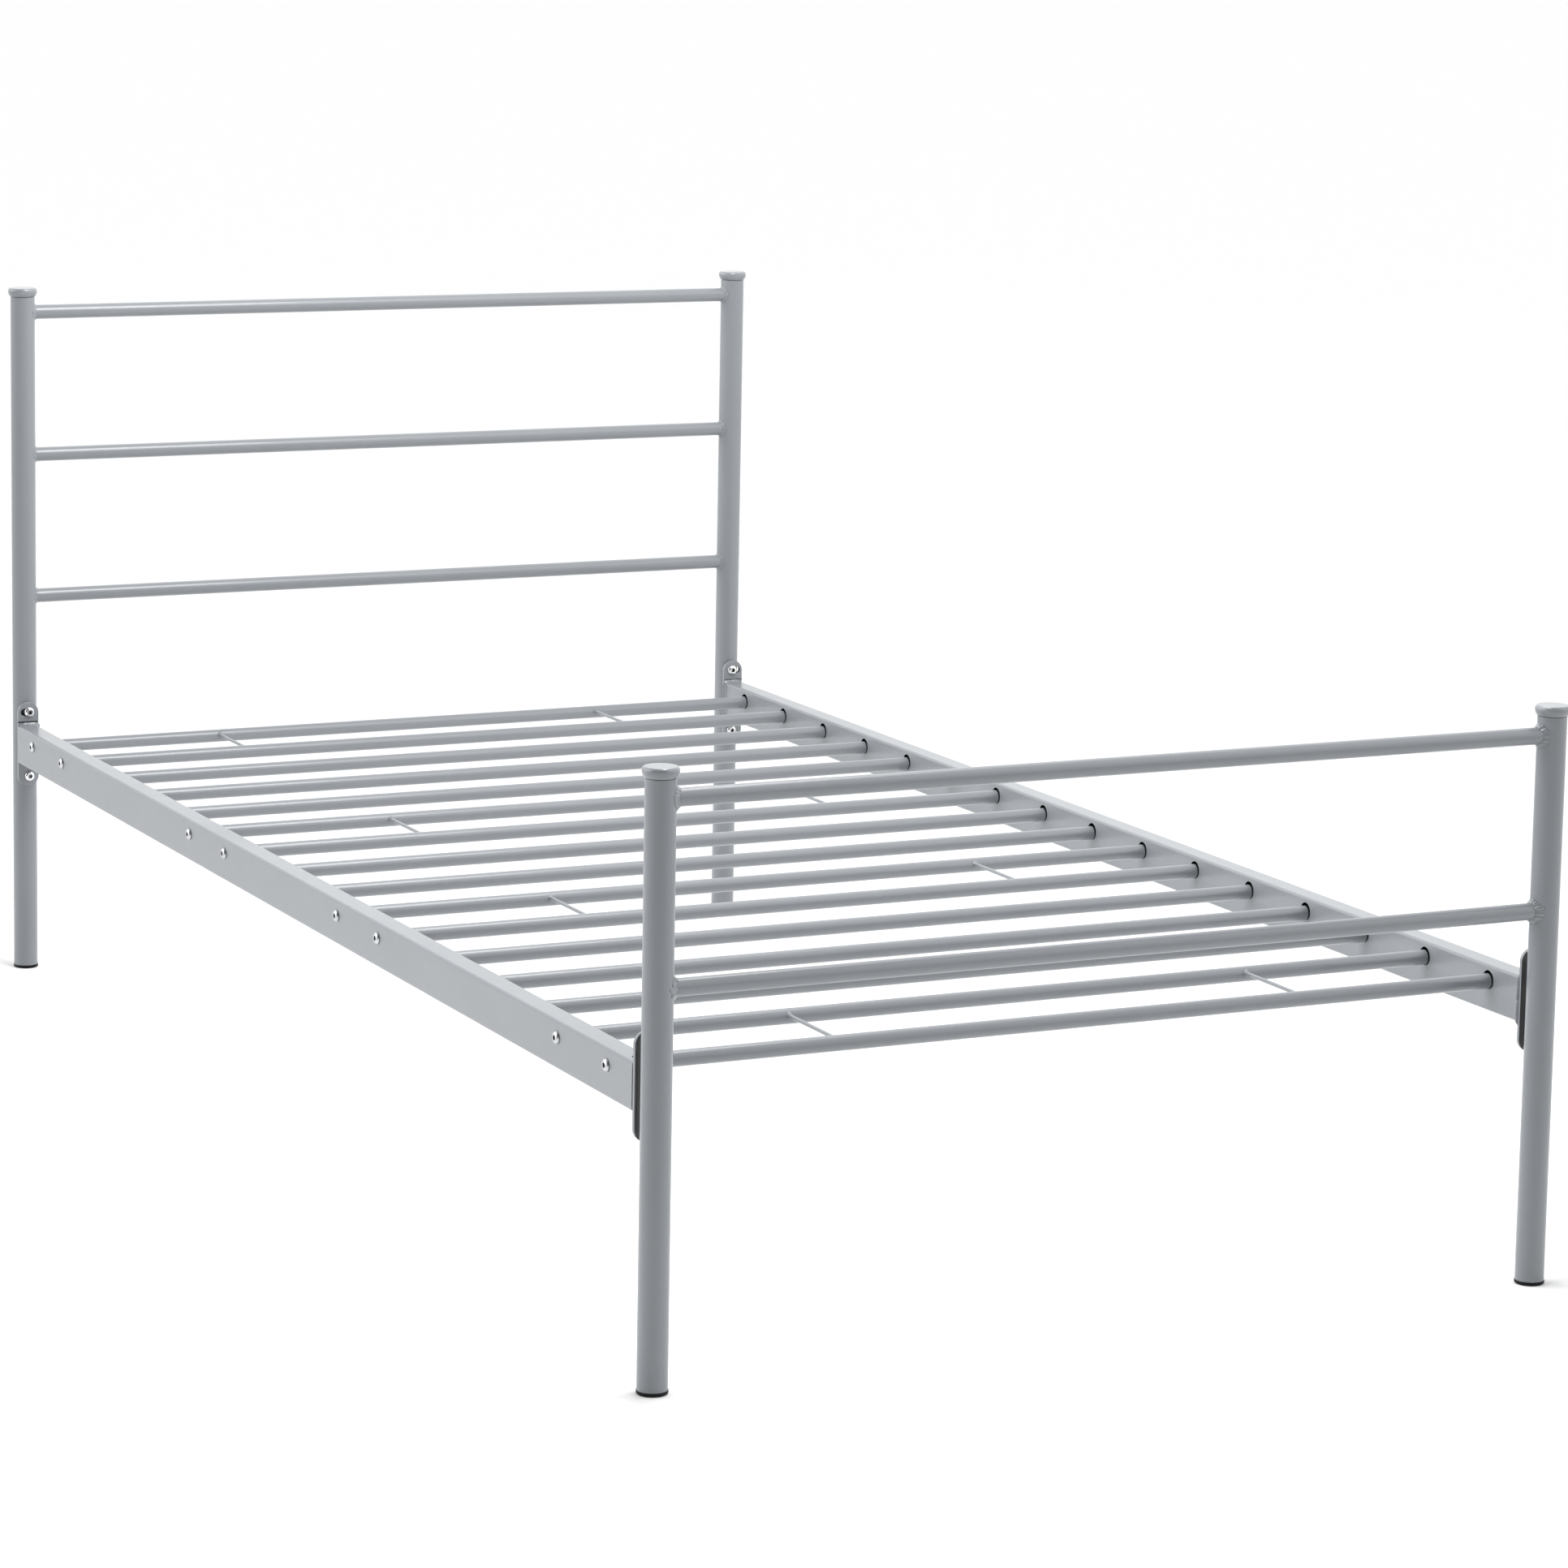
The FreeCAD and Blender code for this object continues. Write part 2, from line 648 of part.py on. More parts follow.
def check(pieces):
    """Stop if any object failed or any piece has no sound shape."""
    for item in document.Objects:
        if {"Invalid", "Error"} & set(item.State):
            raise RuntimeError(f"{item.Label} is in the state {item.State}")
    for piece in pieces:
        if piece.Shape.isNull() or not piece.Shape.isValid():
            raise RuntimeError(f"{piece.Label} has no valid shape")


def export(pieces):
    os.makedirs("parts", exist_ok=True)
    for piece in pieces:
        piece.Shape.exportStep(f"parts/{piece.Label}.step")


bed_pieces = make_pieces()
document.recompute()
check(bed_pieces)
export(bed_pieces)
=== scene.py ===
"""Looks of the metal bed frame: powder coat, zinc and moulded plastic, weld beads, studio."""

import json
import math

import bmesh
import bpy
from mathutils import Matrix, Vector, noise


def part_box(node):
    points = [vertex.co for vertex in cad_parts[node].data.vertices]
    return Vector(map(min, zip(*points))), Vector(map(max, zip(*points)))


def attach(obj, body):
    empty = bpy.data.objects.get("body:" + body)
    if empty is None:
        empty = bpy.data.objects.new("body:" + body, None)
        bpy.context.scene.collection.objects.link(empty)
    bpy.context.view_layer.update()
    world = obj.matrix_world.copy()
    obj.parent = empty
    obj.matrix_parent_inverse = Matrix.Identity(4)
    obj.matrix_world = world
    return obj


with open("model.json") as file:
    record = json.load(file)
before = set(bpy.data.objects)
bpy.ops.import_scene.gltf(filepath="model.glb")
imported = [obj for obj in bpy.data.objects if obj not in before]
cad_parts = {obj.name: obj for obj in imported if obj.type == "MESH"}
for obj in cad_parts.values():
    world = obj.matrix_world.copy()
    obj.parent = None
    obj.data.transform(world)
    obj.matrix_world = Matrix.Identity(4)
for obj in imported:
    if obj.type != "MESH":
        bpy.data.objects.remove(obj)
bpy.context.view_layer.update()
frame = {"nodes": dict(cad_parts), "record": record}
nodes = frame["nodes"]

# How the CAD nodes are named, and on which side of the origin they lie
SIDES = {"left": -1, "right": 1}
ENDS = {"head": 1, "foot": -1}
BARS = {"head": ("top", "middle", "bottom"), "foot": ("top", "bottom")}
BRACED_PAIRS = ((1, 2), (6, 7), (10, 11), (15, 16))

# Camera: where it stands, and how it is turned, in the frame of the part
CAMERA_PLACE = Vector((-2.406, -5.193, 1.4505))
CAMERA_YAW = math.radians(25.80)
CAMERA_PITCH = math.radians(8.86)
CAMERA_ROLL = math.radians(1.03)
CAMERA_LENS = 117.55
CAMERA_SENSOR = 36
CAMERA_SHIFT_Y = -0.0999
CAMERA_CLIP_END = 300

# Studio: a white floor, and a world that is bright in one direction and dim in the other
FLOOR_HALF = 90.0
FLOOR_WHITE = 0.845
BRIGHT_DIRECTION = (0.55, 0.83, 0.0)
DIM_BELOW, BRIGHT_ABOVE = -0.80, 0.70  # how far a direction goes the bright way
DIM_STRENGTH, BRIGHT_STRENGTH = 0.055, 1.36

# Most of a noise lies between these values
NOISE_LOW, NOISE_HIGH = 0.3, 0.7

# Colours: the coat's, then the darker and the lighter patches of the other materials
COAT_TONE = (0.199, 0.212, 0.228)
# the dark colour painted as shade in gaps and holes, and on the shadow line above the rail welds
PAINTED_SHADE_TONES = ((0.006, 0.006, 0.006), (0.016, 0.015, 0.014))
BLACK_PLASTIC_TONES = ((0.004, 0.004, 0.005), (0.009, 0.009, 0.010))
ZINC_TONES = ((0.62, 0.63, 0.65), (0.80, 0.80, 0.79))
DULL_ZINC_TONES = ((0.46, 0.47, 0.49), (0.58, 0.59, 0.60))
# a darker copy of the zinc tones, painted as shade for the slat inserts
SHADED_ZINC_TONES = ((0.20, 0.20, 0.21), (0.30, 0.30, 0.31))

# Gloss of the dark materials, and relief in metres
DARK_SPECULAR = 0.16
PEEL_DEPTH = 0.0003
GRAIN_DEPTH = 0.0002
GRAIN_STRENGTH = 0.2

# Gaps where a dark colour is painted as shade, in metres
RAIL_WALL_DEPTH = 0.0013  # from a rail's faces to where its inside begins
HOLE_EDGE_DEPTH = 0.0002  # from its faces to where the edges of the slat holes begin
HOLE_EDGE_HEIGHT = 0.0186  # half of the height in which those edges lie
SLAT_END_REACH = 0.0008  # from where a slat turns to painted shade to the rail's face
PLATE_HOLES = ((-0.041, 0.0, 0.0045), (0.041, 0.0033, 0.0078))  # level, shift, half width
PLATE_HOLE_HALF_HEIGHT = 0.0045
HOLE_WALL_FACING = 0.5  # the walls of a plate's hole face along the bed by less than this
POST_FACE_DEPTH = 0.007  # from a post's axis to where its skin shows in a plate's hole

# Weld beads, in metres
BAR_WELD_LEG = {"head": 0.0024, "foot": 0.0042}
WIRE_WELD_LEG = 0.0017
RAIL_WELD_LEG = 0.0042
RAIL_WELD_RIPPLE = 0.0036
RAIL_WELD_TAPER = 0.006
RAIL_CORNER = 0.003
OUTLINE_STEP = 0.001
# the dark strip on the plate above each rail's upper bead is a painted shadow line, proud of the
# plate
SHADOW_LINE_HEIGHT = {"left": 0.0016, "right": 0.0006}
SHADOW_LINE_PROUD = 0.0009
SHADOW_LINE_BURIED = 0.0002
SHADOW_LINE_STEPS = 20
FILLET_STEPS = 6
ROUND_WELD_STEPS = 120

# Parts of a bead as shares of its reach, and of its host's radius
SHADOW_LINE_LEVEL = 0.92
RAIL_BULGE = 0.30
ROUND_BULGE, ROUND_BULGE_CHANGE = 0.34, 0.22
BURIED_SHARE = 0.15
TOE_LIMIT = 0.94


# ------------------------------------------------------------------ measuring the frame
def middle(node):
    low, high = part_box(node)
    return (low + high) / 2


def half_size(node):
    low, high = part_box(node)
    return (high - low) / 2


# ------------------------------------------------------------------ camera, light and floor
def make_camera():
    forward = Vector((
        math.sin(CAMERA_YAW) * math.cos(CAMERA_PITCH),
        math.cos(CAMERA_YAW) * math.cos(CAMERA_PITCH),
        -math.sin(CAMERA_PITCH),
    ))
    level_right = Vector((math.cos(CAMERA_YAW), -math.sin(CAMERA_YAW), 0))
    level_up = level_right.cross(forward)
    right = level_right * math.cos(CAMERA_ROLL) + level_up * math.sin(CAMERA_ROLL)
    up = level_up * math.cos(CAMERA_ROLL) - level_right * math.sin(CAMERA_ROLL)
    data = bpy.data.cameras.new("camera")
    data.lens = CAMERA_LENS
    data.sensor_width = CAMERA_SENSOR
    data.shift_y = CAMERA_SHIFT_Y
    data.clip_end = CAMERA_CLIP_END
    camera = bpy.data.objects.new("camera", data)
    bpy.context.scene.collection.objects.link(camera)
    camera.matrix_world = axes_matrix(CAMERA_PLACE, right, up, -forward)
    bpy.context.scene.camera = camera


def make_world():
    """A white studio that is bright behind the bed and dimmer in front of it."""
    world = bpy.data.worlds.new("studio")
    world.use_nodes = True
    tree = world.node_tree
    sky = tree.nodes["Background"]
    direction = tree.nodes.new("ShaderNodeTexCoord")
    away = tree.nodes.new("ShaderNodeVectorMath")
    away.operation = "DOT_PRODUCT"
    away.inputs[1].default_value = BRIGHT_DIRECTION
    dim = tree.nodes.new("ShaderNodeMapRange")
    dim.interpolation_type = "SMOOTHSTEP"
    dim.inputs["From Min"].default_value = DIM_BELOW
    dim.inputs["From Max"].default_value = BRIGHT_ABOVE
    dim.inputs["To Min"].default_value = DIM_STRENGTH
    dim.inputs["To Max"].default_value = BRIGHT_STRENGTH
    tree.links.new(direction.outputs["Generated"], away.inputs[0])
    tree.links.new(away.outputs["Value"], dim.inputs["Value"])
    tree.links.new(dim.outputs["Result"], sky.inputs["Strength"])
    sky.inputs["Color"].default_value = (1.0, 1.0, 1.0, 1.0)
    bpy.context.scene.world = world


def make_sun(name, strength, angle, towards):
    """A broad, soft light that shines along a direction; its angle is in degrees."""
    data = bpy.data.lights.new(name, "SUN")
    data.energy = strength
    data.angle = math.radians(angle)
    light = bpy.data.objects.new(name, data)
    light.rotation_euler = Vector(towards).to_track_quat("-Z", "Y").to_euler()
    bpy.context.scene.collection.objects.link(light)


def make_panel(name, power, size, place, aim):
    """A square soft box that hangs over the bed, faces a point and is not seen itself."""
    data = bpy.data.lights.new(name, "AREA")
    data.energy = power
    data.size = size
    light = bpy.data.objects.new(name, data)
    light.location = Vector(place)
    light.rotation_euler = (Vector(aim) - Vector(place)).to_track_quat("-Z", "Y").to_euler()
    light.visible_camera = False
    bpy.context.scene.collection.objects.link(light)


def make_floor():
    half = FLOOR_HALF
    mesh = bpy.data.meshes.new("floor")
    corners = ((-half, -half, 0), (half, -half, 0), (half, half, 0), (-half, half, 0))
    mesh.from_pydata(corners, [], [(0, 1, 2, 3)])
    floor = bpy.data.objects.new("floor", mesh)
    bpy.context.scene.collection.objects.link(floor)
    material, tree, shader = new_material("floor_white")
    shader.inputs["Base Color"].default_value = (FLOOR_WHITE, FLOOR_WHITE, FLOOR_WHITE, 1.0)
    shader.inputs["Roughness"].default_value = 0.9
    shader.inputs["Specular IOR Level"].default_value = 0.0
    mesh.materials.append(material)


def make_studio():
    make_world()
    make_sun("left_light", strength=2.4, angle=60, towards=(1.0, -0.45, -0.35))
    make_sun("front_light", strength=1.15, angle=60, towards=(-0.6, 0.6, -0.5))
    make_panel("head_light", power=33.0, size=1.0, place=(0.0, -0.1, 2.2), aim=(0.0, 1.0, 0.55))
    make_panel("foot_light", power=18.0, size=0.4, place=(0.0, -0.9, 2.4), aim=(0.0, -0.9, 0.0))
    make_floor()
    bpy.context.scene.view_settings.view_transform = "Standard"


# ------------------------------------------------------------------ materials
def new_material(name):
    material = bpy.data.materials.new(name)
    material.use_nodes = True
    tree = material.node_tree
    return material, tree, tree.nodes["Principled BSDF"]


def add_noise(tree, scale, detail, roughness=0.5):
    """Noise in the object's own space; its scale is in features per metre."""
    place = tree.nodes.new("ShaderNodeTexCoord")
    texture = tree.nodes.new("ShaderNodeTexNoise")
    texture.inputs["Scale"].default_value = scale
    texture.inputs["Detail"].default_value = detail
    texture.inputs["Roughness"].default_value = roughness
    tree.links.new(place.outputs["Object"], texture.inputs["Vector"])
    return texture.outputs["Fac"]


def spread(tree, value, low, high, start=NOISE_LOW, stop=NOISE_HIGH):
    """Map a value that runs from start to stop to a number that runs from low to high."""
    node = tree.nodes.new("ShaderNodeMapRange")
    node.inputs["From Min"].default_value = start
    node.inputs["From Max"].default_value = stop
    node.inputs["To Min"].default_value = low
    node.inputs["To Max"].default_value = high
    tree.links.new(value, node.inputs["Value"])
    return node.outputs["Result"]


def tint(tree, value, dark, light):
    """Map a noise value to a colour between dark and light."""
    node = tree.nodes.new("ShaderNodeValToRGB")
    node.color_ramp.elements[0].position = NOISE_LOW
    node.color_ramp.elements[0].color = (*dark, 1.0)
    node.color_ramp.elements[1].position = NOISE_HIGH
    node.color_ramp.elements[1].color = (*light, 1.0)
    tree.links.new(value, node.inputs["Fac"])
    return node.outputs["Color"]


def multiply(tree, first, second):
    """The product of two colours."""
    node = tree.nodes.new("ShaderNodeMix")
    node.data_type = "RGBA"
    node.blend_type = "MULTIPLY"
    node.inputs["Factor"].default_value = 1.0
    tree.links.new(first, node.inputs["A"])
    tree.links.new(second, node.inputs["B"])
    return node.outputs["Result"]


def crevice_shade(tree, reach, start, stop, deepest):
    """A grey that falls to the deepest value inside narrow gaps and is 1 on open faces."""
    occlusion = tree.nodes.new("ShaderNodeAmbientOcclusion")
    occlusion.samples = 8
    occlusion.inputs["Distance"].default_value = reach
    return spread(tree, occlusion.outputs["AO"], deepest, 1.0, start, stop)


def add_bump(tree, shader, height, depth, strength):
    """Relief from a noise value; the depth is in metres."""
    bump = tree.nodes.new("ShaderNodeBump")
    bump.inputs["Distance"].default_value = depth
    bump.inputs["Strength"].default_value = strength
    tree.links.new(height, bump.inputs["Height"])
    tree.links.new(bump.outputs["Normal"], shader.inputs["Normal"])


def make_powder_coat(name, peel_strength=0.30, gloss_weight=0.25, shade_reach=0.006):
    """Silver-grey powder coat: faint clouds and mottling, painted shade in crevices and orange
    peel.
    """
    material, tree, shader = new_material(name)
    cloud = add_noise(tree, scale=9.0, detail=3.0)
    dark = tuple(channel * 0.985 for channel in COAT_TONE)
    light = tuple(channel * 1.015 for channel in COAT_TONE)
    mottle = add_noise(tree, scale=70.0, detail=3.0, roughness=0.6)
    clouded = tint(tree, cloud, dark, light)
    mottled = tint(tree, mottle, (0.988, 0.988, 0.990), (1.0, 1.0, 1.0))
    # painted shade: the coat's colour darkens in narrow gaps
    shade = crevice_shade(tree, reach=shade_reach, start=0.12, stop=0.42, deepest=0.03)
    shaded = multiply(tree, multiply(tree, clouded, mottled), shade)
    tree.links.new(shaded, shader.inputs["Base Color"])
    gloss = add_noise(tree, scale=45.0, detail=4.0)
    tree.links.new(spread(tree, gloss, low=0.32, high=0.35), shader.inputs["Roughness"])
    shader.inputs["Specular IOR Level"].default_value = 0.5
    shader.inputs["Coat Weight"].default_value = gloss_weight
    shader.inputs["Coat Roughness"].default_value = 0.09
    peel = add_noise(tree, scale=380.0, detail=1.0)
    add_bump(tree, shader, peel, PEEL_DEPTH, peel_strength)
    return material


def math_node(tree, operation, first, second=0.0):
    """One operation on a socket, and on a second socket or a number."""
    node = tree.nodes.new("ShaderNodeMath")
    node.operation = operation
    tree.links.new(first, node.inputs[0])
    if isinstance(second, float):
        node.inputs[1].default_value = second
    else:
        tree.links.new(second, node.inputs[1])
    return node.outputs["Value"]


def within(tree, value, centre, reach):
    """1 where the value is nearer to the centre than the reach, else 0."""
    gap = math_node(tree, "ABSOLUTE", math_node(tree, "SUBTRACT", value, centre))
    return math_node(tree, "LESS_THAN", gap, reach)


def painted_shade_colour(tree):
    """The dark colour painted as shade in gaps and holes."""
    return tint(tree, add_noise(tree, scale=120.0, detail=3.0), *PAINTED_SHADE_TONES)


def object_axes(tree, output="Object"):
    """The three numbers of a place in metres, or with "Normal" of the surface's direction."""
    place = tree.nodes.new("ShaderNodeTexCoord")
    axes = tree.nodes.new("ShaderNodeSeparateXYZ")
    tree.links.new(place.outputs[output], axes.inputs["Vector"])
    return axes.outputs


def paint_shade_where(material, masks):
    """Painted shade, a dark colour, where all of the masks are 1."""
    tree = material.node_tree
    shader = tree.nodes["Principled BSDF"]
    all_masks = masks[0]
    for mask in masks[1:]:
        all_masks = math_node(tree, "MULTIPLY", all_masks, mask)
    mix = tree.nodes.new("ShaderNodeMix")
    mix.data_type = "RGBA"
    tree.links.new(all_masks, mix.inputs["Factor"])
    # painted shade: the dark colour is mixed in where the masks are 1
    tree.links.new(shader.inputs["Base Color"].links[0].from_socket, mix.inputs["A"])
    tree.links.new(painted_shade_colour(tree), mix.inputs["B"])
    tree.links.new(mix.outputs["Result"], shader.inputs["Base Color"])


def paint_shade_inside_rails(material, zones):
    """Painted shade, a dark colour, where a node lies inside the side rails.

    A zone is how far it starts inside the rail's faces, and half of its height.
    """
    rail = "side_rail_right"
    tree = material.node_tree
    axes = object_axes(tree)
    across = math_node(tree, "ABSOLUTE", axes["X"])
    # painted shade inside the rails, at the slat holes' edges and on the slats' ends
    for depth, height in zones:
        in_width = within(tree, across, middle(rail).x, half_size(rail).x - depth)
        in_height = within(tree, axes["Z"], middle(rail).z, height)
        paint_shade_where(material, (in_width, in_height))


def paint_shade_at_plate_holes(material, output, limit):
    """Painted shade, a dark colour, in the end plates' holes, where the output's Y, either way,
    is under a limit.

    Each plate has a round lower hole, and an upper slot that reaches 11 mm outwards.
    """
    tree = material.node_tree
    axes = object_axes(tree)
    across = math_node(tree, "ABSOLUTE", axes["X"])
    along = math_node(tree, "ABSOLUTE", object_axes(tree, output)["Y"])
    is_under = math_node(tree, "LESS_THAN", along, limit)
    bolt_x, bolt_z = middle("post_head_right").x, middle("side_rail_right").z
    # painted shade on the walls of each plate's holes and on the post skin behind them
    for level, shift, half_width in PLATE_HOLES:
        in_width = within(tree, across, bolt_x + shift, half_width)
        in_height = within(tree, axes["Z"], bolt_z + level, PLATE_HOLE_HALF_HEIGHT)
        paint_shade_where(material, (in_width, in_height, is_under))


def make_painted_shadow_line():
    """A dark painted shadow line on the plate, just above a weld's bead."""
    material, tree, shader = new_material("painted_shade_colour")
    tree.links.new(painted_shade_colour(tree), shader.inputs["Base Color"])
    grain = add_noise(tree, scale=900.0, detail=2.0)
    tree.links.new(spread(tree, grain, low=0.50, high=0.65), shader.inputs["Roughness"])
    shader.inputs["Specular IOR Level"].default_value = DARK_SPECULAR
    add_bump(tree, shader, grain, GRAIN_DEPTH, GRAIN_STRENGTH)
    return material


def make_zinc(name, tones, smoothest, roughest):
    """Zinc plate with faint handling marks, and painted shade in its recesses."""
    material, tree, shader = new_material(name)
    patches = tint(tree, add_noise(tree, scale=160.0, detail=4.0), *tones)
    # painted shade: the zinc's colour darkens in recesses
    recess_shade = crevice_shade(tree, reach=0.004, start=0.40, stop=0.80, deepest=0.02)
    tree.links.new(multiply(tree, patches, recess_shade), shader.inputs["Base Color"])
    shader.inputs["Metallic"].default_value = 1.0
    grain = add_noise(tree, scale=900.0, detail=3.0)
    tree.links.new(spread(tree, grain, smoothest, roughest), shader.inputs["Roughness"])
    add_bump(tree, shader, grain, GRAIN_DEPTH, GRAIN_STRENGTH)
    return material


def make_black_plastic():
    """Moulded black plastic with a fine spark-eroded grain."""
    material, tree, shader = new_material("black_plastic")
    patches = add_noise(tree, scale=45.0, detail=3.0)
    tree.links.new(tint(tree, patches, *BLACK_PLASTIC_TONES), shader.inputs["Base Color"])
    tree.links.new(spread(tree, patches, low=0.50, high=0.60), shader.inputs["Roughness"])
    shader.inputs["Specular IOR Level"].default_value = DARK_SPECULAR
    grain = add_noise(tree, scale=1500.0, detail=1.0)
    add_bump(tree, shader, grain, GRAIN_DEPTH, GRAIN_STRENGTH)
    return material


def make_rail_coat():
    """Coat of the side rails: their insides and the edges of the slat holes are painted dark as
    shade.
    """
    coat = make_powder_coat("powder_coat_rail")
    inside_height = half_size("side_rail_right").z - RAIL_WALL_DEPTH
    inside = (RAIL_WALL_DEPTH, inside_height)
    paint_shade_inside_rails(coat, (inside, (HOLE_EDGE_DEPTH, HOLE_EDGE_HEIGHT)))
    return coat


def make_slat_coat():
    """Coat of the slats: they are painted dark as shade from just before the rail's face."""
    coat = make_powder_coat("powder_coat_slat", shade_reach=0.004)
    paint_shade_inside_rails(coat, ((-SLAT_END_REACH, half_size("side_rail_right").z),))
    return coat


def make_plate_coat():
    """Coat of the end plates: the walls of their holes are painted dark as shade."""
    coat = make_powder_coat("powder_coat_plate")
    paint_shade_at_plate_holes(coat, "Normal", HOLE_WALL_FACING)
    return coat


def make_post_coat():
    """Coat of the posts: they are painted dark as shade where they show in the plates' holes."""
    coat = make_powder_coat("powder_coat_post")
    paint_shade_at_plate_holes(coat, "Object", middle("post_head_right").y - POST_FACE_DEPTH)
    return coat


def paint_nodes():
    """Give every CAD node the material of its name's start, or else that of its slot."""
    post_coat = make_post_coat()
    by_name = {
        "side_rail": make_rail_coat(),
        "rail_plate": make_plate_coat(),
        "post_head": post_coat,
        "post_foot": post_coat,
        "slat_bolts": make_zinc("zinc_dull", DULL_ZINC_TONES, 0.30, 0.40),
        # the slat inserts get a darker copy of the zinc, painted as shade
        "slat_inserts": make_zinc("zinc_painted_shade", SHADED_ZINC_TONES, 0.40, 0.50),
        "slat_": make_slat_coat(),
        "post_cap": make_powder_coat("powder_coat_cap", peel_strength=0.5, gloss_weight=0.35),
    }
    by_slot = {
        "grey_powder_coat": make_powder_coat("powder_coat"),
        "zinc_plated_steel": make_zinc("zinc", ZINC_TONES, 0.16, 0.30),
        "black_plastic": make_black_plastic(),
    }
    for part in frame["record"]["subparts"]:
        name = part["node"]
        named = [material for start, material in by_name.items() if name.startswith(start)]
        mesh = nodes[name].data
        mesh.materials.clear()
        mesh.materials.append(named[0] if named else by_slot[part["material_slot"]])


# ------------------------------------------------------------------ weld beads
def axes_matrix(origin, x_axis, y_axis, z_axis):
    """The matrix that takes a space with these axes at this origin to the frame's."""
    turn = Matrix((x_axis, y_axis, z_axis)).transposed().to_4x4()
    return Matrix.Translation(origin) @ turn


def mesh_piece(name, vertices, faces, material):
    mesh = bpy.data.meshes.new(name)
    mesh.from_pydata(vertices, [], faces)
    work = bmesh.new()
    work.from_mesh(mesh)
    bmesh.ops.recalc_face_normals(work, faces=work.faces)
    work.to_mesh(mesh)
    work.free()
    mesh.polygons.foreach_set("use_smooth", [True] * len(mesh.polygons))
    mesh.materials.append(material)
    piece = bpy.data.objects.new(name, mesh)
    bpy.context.scene.collection.objects.link(piece)
    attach(piece, "root")


def bead_swell(place, phase):
    """How much a bead is thicker or thinner at a place: uneven flow, lumps and ripples."""
    uneven = noise.noise(place)
    lumps = noise.noise(place * 4.0)
    beads = noise.noise(place * 9.0)
    ripples = math.cos(phase + uneven * 3.0)
    return 1.0 + 0.24 * uneven + 0.24 * lumps + 0.20 * beads + 0.10 * ripples


def quadratic(start, control, finish, share):
    """The point at a share of the way along a quadratic curve."""
    rest = 1.0 - share
    return start * rest * rest + control * 2.0 * rest * share + finish * share * share


def sweep_bead(name, sections, closed, material):
    """Skin a fillet through its sections.

    A section is its edge on the host, its corner, its edge on the rod, and a point that is
    buried in the metal.
    """
    rings = []
    for on_host, corner, on_rod, buried in sections:
        shares = [step / FILLET_STEPS for step in range(FILLET_STEPS + 1)]
        rings.append([quadratic(on_host, corner, on_rod, share) for share in shares] + [buried])
    size = FILLET_STEPS + 2
    count = len(rings)
    vertices = [vertex for ring in rings for vertex in ring]
    faces = []
    for index in range(count if closed else count - 1):
        here, there = index * size, (index + 1) % count * size
        for step in range(size):
            following = (step + 1) % size
            faces.append((here + step, here + following, there + following, there + step))
    if not closed:
        faces.append(tuple(range(size)))
        faces.append(tuple(range((count - 1) * size, count * size)))
    mesh_piece(name, vertices, faces, material)


def round_weld_sections(place, rod_radius, host_radius, offset, leg, seed, ripples):
    """Sections of the fillet where a round rod leaves the side of a round host.

    In the weld's own space the host lies along Z, and the rod leaves it along +X, offset in Y.
    """
    limit = host_radius * TOE_LIMIT
    sections = []
    for index in range(ROUND_WELD_STEPS):
        turn = 2.0 * math.pi * index / ROUND_WELD_STEPS
        out_y, out_z = math.cos(turn), math.sin(turn)
        reach = leg * bead_swell(Vector((out_y * 1.6, out_z * 1.6, seed)), turn * ripples)
        root_y, root_z = offset + rod_radius * out_y, rod_radius * out_z
        root = Vector((math.sqrt(host_radius ** 2 - root_y ** 2), root_y, root_z))
        toe_y = max(-limit, min(limit, root_y + reach * out_y))
        toe_x = math.sqrt(host_radius ** 2 - toe_y ** 2)
        on_host = Vector((toe_x, toe_y, root_z + reach * out_z))
        on_rod = root + Vector((reach, 0.0, 0.0))
        diagonal = Vector((1.0, out_y, out_z)) * reach
        change = noise.noise(Vector((out_z * 7.0, out_y * 7.0, seed + 4.0)))
        corner = root + diagonal * (ROUND_BULGE + ROUND_BULGE_CHANGE * change)
        section = (on_host, corner, on_rod, root - diagonal * BURIED_SHARE)
        sections.append(tuple(place @ vertex for vertex in section))
    return sections


def weld_bars(material):
    """A bead at both ends of every headboard and footboard bar."""
    up = Vector((0, 0, 1))
    for end, labels in BARS.items():
        for label in labels:
            bar = f"{end}board_bar_{label}"
            for side, sign in SIDES.items():
                post = f"post_{end}_{side}"
                origin = Vector((middle(post).x, middle(post).y, middle(bar).z))
                place = axes_matrix(origin, Vector((-sign, 0, 0)), Vector((0, -sign, 0)), up)
                seed = 3.1 * len(label) + 7.7 * sign + 11.3 * ENDS[end]
                sections = round_weld_sections(
                    place, half_size(bar).z, half_size(post).x, offset=0.0,
                    leg=BAR_WELD_LEG[end], seed=seed, ripples=12,
                )
                sweep_bead(f"weld_{bar}_{side}", sections, True, material)


def weld_wires(material):
    """A small bead where each brace wire meets its two slats."""
    for pair_number, pair in enumerate(BRACED_PAIRS, start=1):
        for side in SIDES:
            wire = f"brace_wire_{pair_number}_{side}"
            for slat_number, towards in zip(pair, (-1, 1)):
                slat = f"slat_{slat_number:02d}"
                origin = Vector((middle(wire).x, middle(slat).y, middle(slat).z))
                away = Vector((0, towards, 0))
                place = axes_matrix(origin, away, Vector((0, 0, 1)), Vector((towards, 0, 0)))
                sections = round_weld_sections(
                    place, half_size(wire).x, half_size(slat).z,
                    offset=middle(wire).z - middle(slat).z,
                    leg=WIRE_WELD_LEG, seed=1.7 * slat_number, ripples=4,
                )
                sweep_bead(f"weld_{wire}_{slat_number:02d}", sections, True, material)


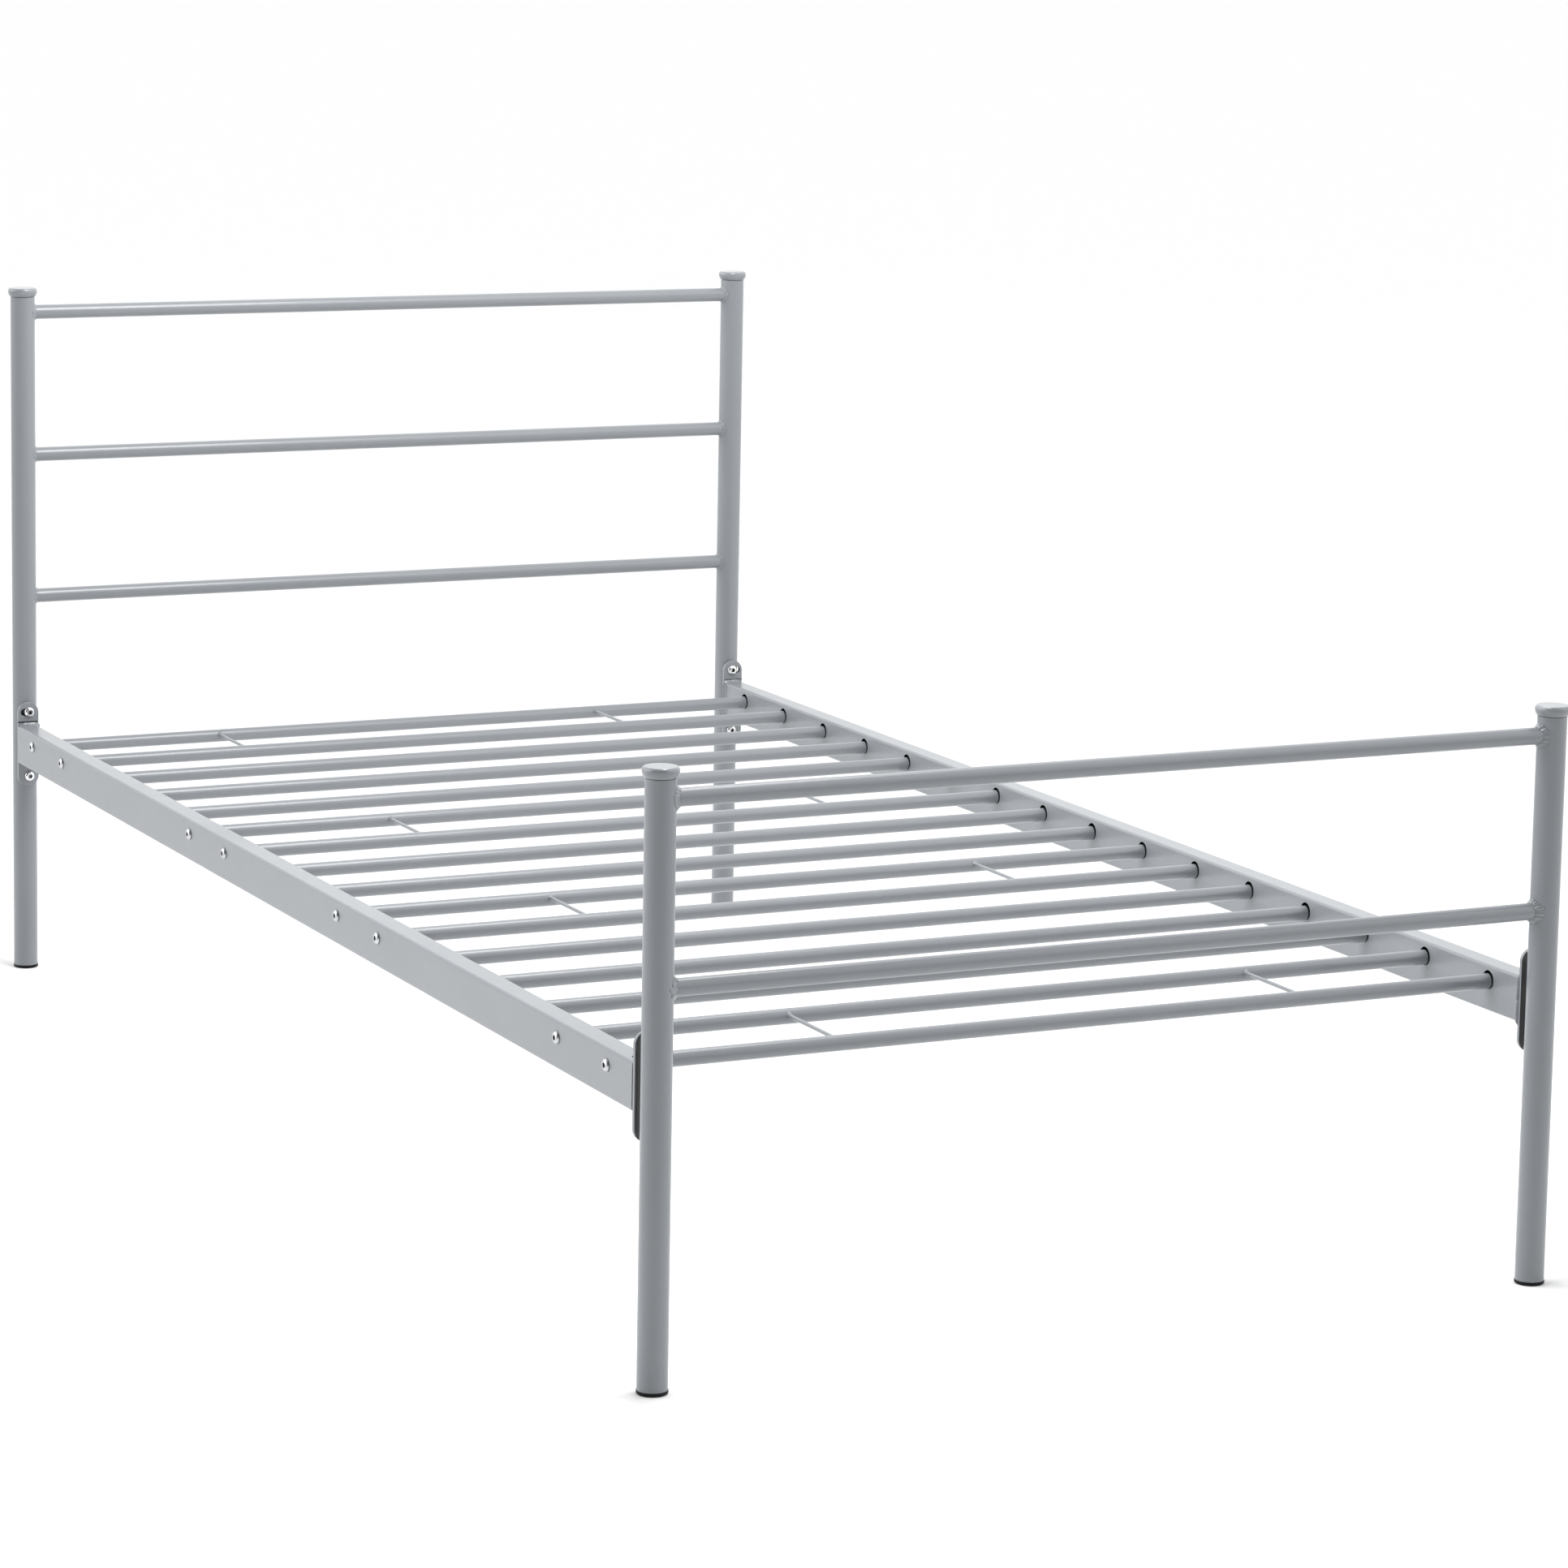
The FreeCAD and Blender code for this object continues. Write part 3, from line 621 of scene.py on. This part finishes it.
def rail_outline(half_width, half_height, corner):
    """Places along three sides of the rail's section, about 1 mm apart.

    They run from the outer edge over the top, down the inner side, which is at -half_width,
    and back underneath. Each comes with its distance from either end of the outline and with
    the direction outwards.
    """
    edge, level = half_width - corner, half_height - corner
    flat, upright, bend = 2 * edge, 2 * level, math.pi * corner / 2
    total = 2 * flat + upright + 2 * bend
    count = round(total / OUTLINE_STEP)
    outline = []
    for index in range(count + 1):
        run = total * index / count
        if run < flat:
            x, z, turn = edge - run, level, 90.0
        elif run < flat + bend:
            x, z, turn = -edge, level, 90.0 + 90.0 * (run - flat) / bend
        elif run < flat + bend + upright:
            x, z, turn = -edge, level - (run - flat - bend), 180.0
        elif run < flat + bend + upright + bend:
            x, z, turn = -edge, -level, 180.0 + 90.0 * (run - flat - bend - upright) / bend
        else:
            x, z, turn = -edge + (run - total + flat), -level, 270.0
        outwards = Vector((math.cos(math.radians(turn)), 0.0, math.sin(math.radians(turn))))
        outline.append((run, total - run, Vector((x, 0.0, z)) + outwards * corner, outwards))
    return outline


def rail_weld_sections(rail, origin, sign, direction):
    """Sections of the open bead round a rail's end, thin at its start and finish."""
    mirror = Vector((sign, 1.0, 1.0))
    along = Vector((0.0, -direction, 0.0))
    outline = rail_outline(half_size(rail).x, half_size(rail).z, RAIL_CORNER)
    sections = []
    for before, after, spot, outwards in outline:
        taper = min(1.0, 0.25 + min(before, after) / RAIL_WELD_TAPER)
        seed = Vector((before * 160.0, 5.0 * sign, 9.0 * direction))
        swell = bead_swell(seed, before * 2.0 * math.pi / RAIL_WELD_RIPPLE)
        reach = RAIL_WELD_LEG * taper * swell
        root = origin + spot * mirror
        normal = outwards * mirror
        diagonal = (normal + along) * reach
        on_plate, on_rail = root + normal * reach, root + along * reach
        corner, buried = root + diagonal * RAIL_BULGE, root - diagonal * BURIED_SHARE
        sections.append((on_plate, corner, on_rail, buried))
    return sections


def shadow_line_sections(thickness, half_width, along, place):
    """Sections of the dark, straight painted shadow line on the plate, just above the bead's
    upper edge.
    """
    sections = []
    for index in range(SHADOW_LINE_STEPS + 1):
        across = half_width * (2.0 * index / SHADOW_LINE_STEPS - 1.0)
        foot = Vector((across, 0.0, RAIL_WELD_LEG * SHADOW_LINE_LEVEL))
        edges = (
            foot + Vector((0.0, 0.0, thickness)),
            foot + Vector((0.0, 0.0, thickness / 2)) + along * SHADOW_LINE_PROUD,
            foot,
            foot - along * SHADOW_LINE_BURIED,
        )
        sections.append(tuple(place + edge for edge in edges))
    return sections


def weld_rails(material, shadow_line_material):
    """A bead round three sides of each rail end, and a dark painted shadow line along its upper
    edge.
    """
    for end, direction in ENDS.items():
        for side, sign in SIDES.items():
            rail = f"side_rail_{side}"
            half = half_size(rail)
            origin = middle(rail) + Vector((0.0, half.y * direction, 0.0))
            sections = rail_weld_sections(rail, origin, sign, direction)
            sweep_bead(f"weld_{rail}_{end}", sections, False, material)
            # painted shadow: a dark strip on the plate along the bead's upper edge
            top = origin + Vector((0.0, 0.0, half.z))
            along = Vector((0.0, -direction, 0.0))
            sections = shadow_line_sections(SHADOW_LINE_HEIGHT[side], half.x, along, top)
            sweep_bead(f"weld_painted_shadow_{rail}_{end}", sections, False, shadow_line_material)


# ------------------------------------------------------------------ the whole scene
def main():
    make_camera()
    make_studio()
    paint_nodes()
    weld_coat = make_powder_coat("powder_coat_weld", peel_strength=1.0, gloss_weight=0.4)
    weld_bars(weld_coat)
    weld_wires(weld_coat)
    weld_rails(weld_coat, make_painted_shadow_line())


main()
